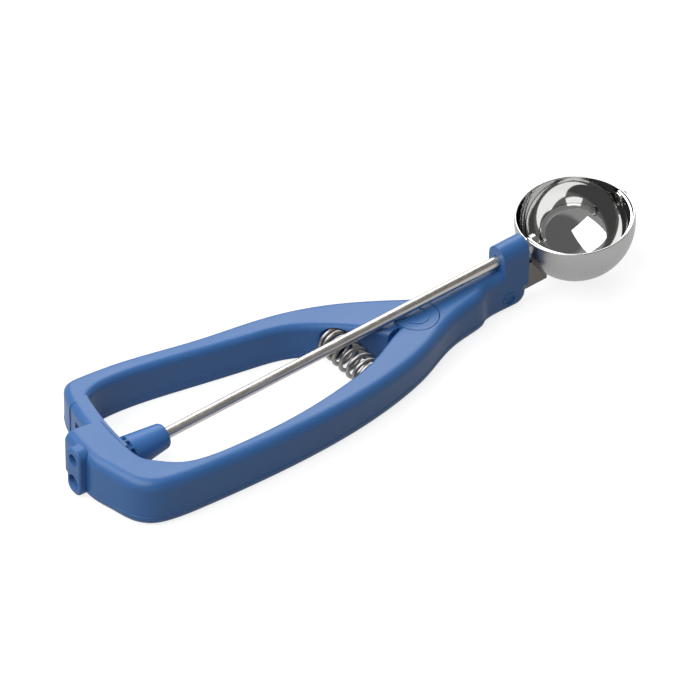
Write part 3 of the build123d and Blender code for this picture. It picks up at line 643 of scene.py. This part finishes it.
def grow(name: str, tree: bpy.types.NodeTree, values: dict[str, float],
         seed: bpy.types.Mesh) -> bpy.types.Object:
    """Runs a geometry tree once and keeps its result as a plain mesh.

    Args:
        name: name of the new object.
        tree: the geometry tree.
        values: its inputs by name.
        seed: the mesh that the tree starts from.

    Returns:
        The new object, with no modifier on it.
    """
    grown = bpy.data.objects.new(name, seed)
    bpy.context.scene.collection.objects.link(grown)
    modifier = grown.modifiers.new("build", "NODES")
    modifier.node_group = tree
    for item in tree.interface.items_tree:
        if item.in_out == "INPUT" and item.name in values:
            modifier[item.identifier] = values[item.name]
    evaluated = grown.evaluated_get(bpy.context.evaluated_depsgraph_get())
    mesh = bpy.data.meshes.new_from_object(evaluated)
    mesh.name = name
    grown.modifiers.remove(modifier)
    grown.data = mesh
    return grown


@dataclass
class Drive:
    """Rod, pinion and their cross pin."""

    frame: dict
    lean: float = radians(5.0)

    def build(self) -> None:
        """Dresses the rod, the pinion and the pin."""
        rod = Steel("rod_steel", LineRun.ALONG, colour=(0.62, 0.59, 0.55), lean=self.lean, roughness=0.33,
                    line_depth=0.0005 * MM).build()
        dress(self.frame, ("rod",), rod)
        pinion = MouldedPlastic("pinion_plastic", colour=(0.044, 0.155, 0.41))
        dress(self.frame, ("drive_pinion",), pinion.build())
        dress(self.frame, ("pinion_pin",), Steel("pin_steel", LineRun.TUMBLED, roughness=0.3).build())


@dataclass
class Scoop:
    """Bowl, scraper and the flat shank."""

    frame: dict
    bowl_radius: float = 21.5 * MM
    wall: float = 0.8 * MM
    fittings: tuple[str, ...] = ("bowl_ferrule", "scraper_hub", "scraper_rivet")

    def build(self) -> None:
        """Dresses the bowl, the blade and the pieces that hold them."""
        joints = {joint["name"]: joint for joint in self.frame["joints"]}
        centre = tuple(joints["scraper_turn"]["pos_m"])
        bowl = PressedBowlSteel("bowl_steel", centre, self.bowl_radius - self.wall, self.bowl_radius)
        dress(self.frame, ("bowl",), bowl.build())
        blade = Steel("blade_steel", LineRun.ALONG, colour=(0.66, 0.66, 0.65), roughness=0.09)
        dress(self.frame, ("scraper_blade",), blade.build())
        dress(self.frame, self.fittings, Steel("fitting_steel", LineRun.ROUND, roughness=0.15).build())
        sheet = Steel("sheet_steel", LineRun.ALONG, colour=(0.16, 0.15, 0.14), roughness=0.3)
        dress(self.frame, ("shank",), sheet.build())


# ---- studio --------------------------------------------------------------------------------------
@dataclass(frozen=True)
class Softbox:
    """One soft lamp: where it hangs, what it points at, its size and its level."""

    name: str
    place: tuple[float, float, float]
    target: tuple[float, float, float]
    width: float
    height: float
    watts: float

    def build(self) -> None:
        """Hangs the lamp."""
        lamp = bpy.data.lights.new(self.name, "AREA")
        lamp.shape = "RECTANGLE"
        lamp.size = self.width
        lamp.size_y = self.height
        lamp.energy = self.watts
        holder = bpy.data.objects.new(self.name, lamp)
        bpy.context.scene.collection.objects.link(holder)
        holder.location = self.place
        aim = Vector(self.target) - Vector(self.place)
        holder.rotation_euler = aim.to_track_quat("-Z", "Y").to_euler()


@dataclass
class Studio:
    """Camera, pale floor, backdrop light and lamps."""

    aim: tuple[float, float, float] = (-0.03018, -0.00266, 0.015)
    distance: float = 1.8977
    elevation: float = radians(39.453)
    bearing: float = radians(35.988)
    roll: float = radians(0.9835)
    lens: float = 282.86
    far_clip: float = 20.0
    floor_half_width: float = 6.0
    floor_gap: float = 0.05 * MM
    floor_grey: float = 0.30
    floor_glow: float = 0.82
    floor_mirror: float = 0.5
    horizon_band: tuple[float, float] = (0.02, 0.3)
    backdrop_level: float = 1.0
    ceiling_level: float = 0.5
    flag_level: float = 0.21
    flag_centre: tuple[float, float, float] = (0.12, -0.45, 0.885)
    flag_edge: tuple[float, float] = (0.66, 0.80)
    fill_level: float = 0.12
    lamps: tuple[Softbox, ...] = (
        Softbox("back_softbox", (0.65, 0.95, 0.98), (0.0, 0.0, 0.0), 1.2, 0.9, 11.5),
        Softbox("key_softbox", (-0.77, 0.12, 1.16), (0.0, 0.0, 0.0), 1.75, 1.3, 24.0),
    )

    def build_camera(self) -> None:
        """Sets the camera on its sight line, with its slight roll."""
        flat = cos(self.elevation)
        sight = Vector((sin(self.bearing) * flat, cos(self.bearing) * flat, -sin(self.elevation)))
        level = Vector((cos(self.bearing), -sin(self.bearing), 0.0))
        upright = level.cross(sight)
        right = level * cos(self.roll) + upright * sin(self.roll)
        top = upright * cos(self.roll) - level * sin(self.roll)
        lens = bpy.data.cameras.new("camera")
        lens.lens = self.lens
        lens.clip_end = self.far_clip
        camera = bpy.data.objects.new("camera", lens)
        bpy.context.scene.collection.objects.link(camera)
        turn = Matrix((right, top, -sight)).transposed().to_4x4()
        camera.matrix_world = Matrix.Translation(Vector(self.aim) - sight * self.distance) @ turn
        bpy.context.scene.camera = camera

    def build_floor(self) -> None:
        """Lays a pale floor that keeps the scoop's shadow."""
        mesh = bpy.data.meshes.new("floor")
        shape = bmesh.new()
        below = Matrix.Translation((0.0, 0.0, -self.floor_gap))
        bmesh.ops.create_grid(shape, x_segments=1, y_segments=1, size=self.floor_half_width, matrix=below)
        shape.to_mesh(mesh)
        shape.free()
        floor = bpy.data.objects.new("floor", mesh)
        bpy.context.scene.collection.objects.link(floor)
        material, tree, shader = blank_material("floor_paint")
        shader.inputs["Base Color"].default_value = (self.floor_grey, self.floor_grey, self.floor_grey, 1.0)
        shader.inputs["Roughness"].default_value = 1.0
        shader.inputs["Specular IOR Level"].default_value = 0.0
        path = tree.add("ShaderNodeLightPath")
        mirrored = tree.math("MAXIMUM", path.outputs["Is Glossy Ray"], path.outputs["Is Transmission Ray"])
        mirrored = tree.math("MULTIPLY", mirrored, self.floor_mirror)
        glow = tree.math("MULTIPLY_ADD", path.outputs["Is Camera Ray"], self.floor_glow, mirrored)
        shader.inputs["Emission Color"].default_value = (1.0, 1.0, 1.0, 1.0)
        tree.join(glow, shader.inputs["Emission Strength"])
        mesh.materials.append(material)

    def build_world(self) -> None:
        """Sets a surround: white to the camera and at the horizon, grey above, with a dark flag overhead."""
        world = bpy.data.worlds.new("surround")
        bpy.context.scene.world = world
        world.use_nodes = True
        tree = Tree(world.node_tree)
        path = tree.add("ShaderNodeLightPath")
        seen = tree.math("MAXIMUM", path.outputs["Is Camera Ray"], path.outputs["Is Transmission Ray"])
        direction = tree.add("ShaderNodeTexCoord").outputs["Generated"]
        upward = tree.add("ShaderNodeSeparateXYZ")
        tree.join(direction, upward.inputs[0])
        rise = upward.outputs["Z"]
        mirrored = tree.ramp(rise, *self.horizon_band, self.backdrop_level, self.ceiling_level)
        toward_flag = tree.add("ShaderNodeVectorMath", operation="DOT_PRODUCT")
        tree.join(direction, toward_flag.inputs[0])
        tree.feed(toward_flag, 1, Vector(self.flag_centre).normalized())
        flag_share = self.flag_level / self.ceiling_level
        flag = tree.ramp(toward_flag.outputs["Value"], *self.flag_edge, 1.0, flag_share)
        mirrored = tree.math("MULTIPLY", mirrored, flag)
        shiny = tree.add("ShaderNodeMix")
        tree.feed(shiny, 0, path.outputs["Is Glossy Ray"])
        tree.feed(shiny, 2, self.fill_level)
        tree.feed(shiny, 3, mirrored)
        level = tree.math("MAXIMUM", seen, shiny.outputs[0])
        back = tree.add("ShaderNodeBackground")
        tree.feed(back, "Color", (1.0, 1.0, 1.0, 1.0))
        tree.join(level, back.inputs["Strength"])
        output = tree.add("ShaderNodeOutputWorld")
        tree.join(back.outputs[0], output.inputs["Surface"])

    def build(self) -> None:
        """Builds the studio."""
        self.build_camera()
        self.build_floor()
        self.build_world()
        for lamp in self.lamps:
            lamp.build()
        bpy.context.scene.view_settings.view_transform = "Standard"


def main() -> None:
    """Builds the scoop's looks in order."""
    logging.basicConfig(level=logging.INFO, format="%(name)s: %(message)s")
    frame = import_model()
    Studio().build()
    Handle(frame).build()
    ReturnSpring(frame).build()
    Drive(frame).build()
    Scoop(frame).build()


if __name__ == "__main__":
    main()
